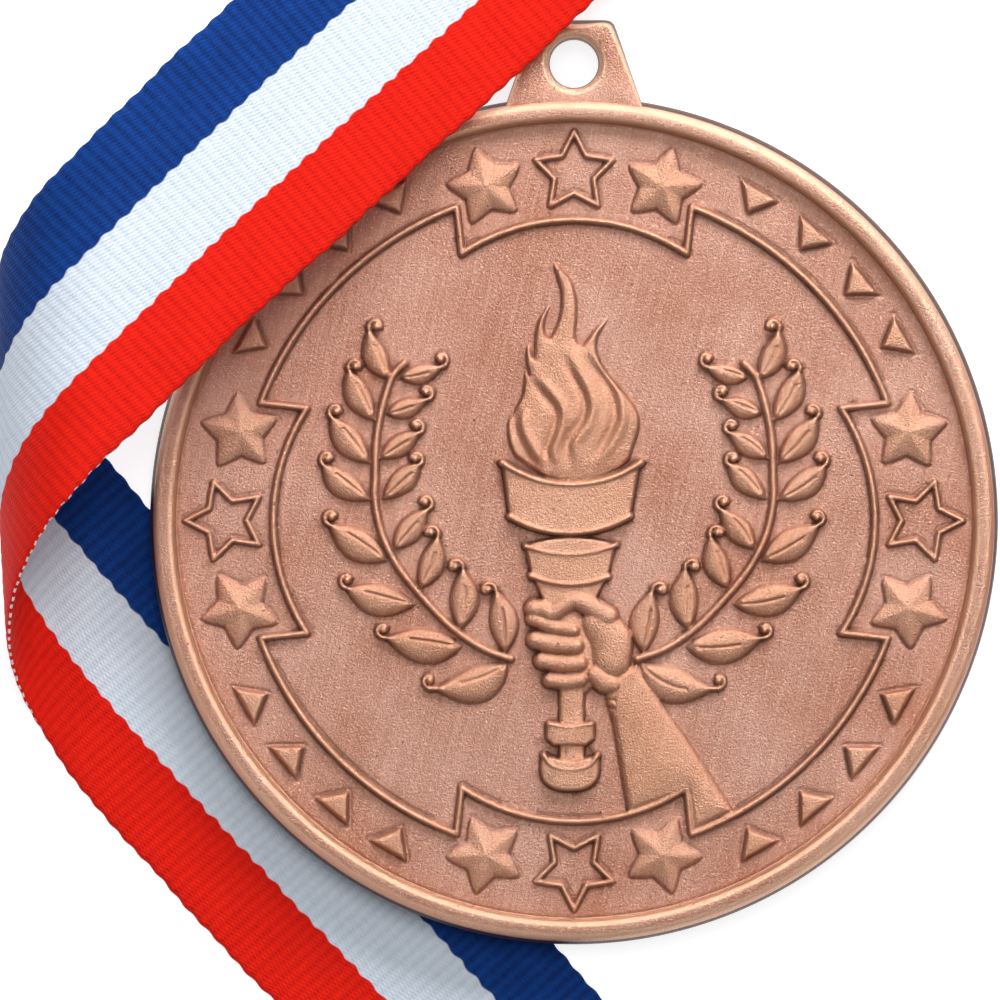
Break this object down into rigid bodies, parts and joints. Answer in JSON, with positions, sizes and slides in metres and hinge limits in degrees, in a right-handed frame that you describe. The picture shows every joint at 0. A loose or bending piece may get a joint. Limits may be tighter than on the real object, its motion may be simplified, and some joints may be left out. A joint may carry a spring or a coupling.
{
  "type": "sports finisher medal",
  "caption": "Struck metal finisher medal with torch and laurel relief and a holed tab, lying face up in the fold of its striped neck ribbon, which ends in a ring and clasp.",
  "frame": {"origin": "centre of the tab's hole, half way through its wall", "axes": "+Z out of the medal's face, +Y from the disc's centre to the tab, +X to the right of the face"},
  "size_m": [0.1092, 0.2536, 0.014],
  "materials": {
    "antique_bronze": "antique brushed",
    "ribbon_cloth": "ribbed weave, three stripes",
    "thread": "spun thread",
    "nickel": "polished nickel",
    "pin_steel": "plain"
  },
  "bodies": {
    "medal": {"medal": "antique_bronze"},
    "ribbon": {"ribbon": "ribbon_cloth", "ribbon_stitching": "thread"},
    "ring": {"ribbon_ring": "nickel"},
    "eye": {"swivel_eye": "nickel"},
    "clasp": {"clasp_body": "nickel", "lever_pin": "pin_steel", "lever_spring": "pin_steel"},
    "lever": {"clasp_lever": "nickel"}
  },
  "joints": [
    {"name": "ribbon_draw", "type": "slide", "parent": "medal", "child": "ribbon", "axis": [0, 1, 0], "range_m": [-0.005, 0.075]},
    {"name": "ring_swing", "type": "hinge", "parent": "ribbon", "child": "ring", "pos_m": [0.048, 0.0768, -0.0011], "axis": [1, 0, 0], "range_deg": [0, 100]},
    {"name": "eye_swing", "type": "hinge", "parent": "ring", "child": "eye", "pos_m": [0.048, 0.08571, 0.00015], "axis": [1, 0, 0], "range_deg": [0, 80]},
    {"name": "clasp_swivel", "type": "hinge", "parent": "eye", "child": "clasp", "pos_m": [0.048, 0.08571, 0.00015], "axis": [0, 0.9981, -0.061], "continuous": true},
    {"name": "lever_press", "type": "hinge", "parent": "clasp", "child": "lever", "pos_m": [0.0451, 0.0939, -0.00035], "axis": [0, -0.061, -0.9981], "range_deg": [0, 22], "stiffness_Nm_per_rad": 0.004, "springref_deg": -5.73}
  ]
}
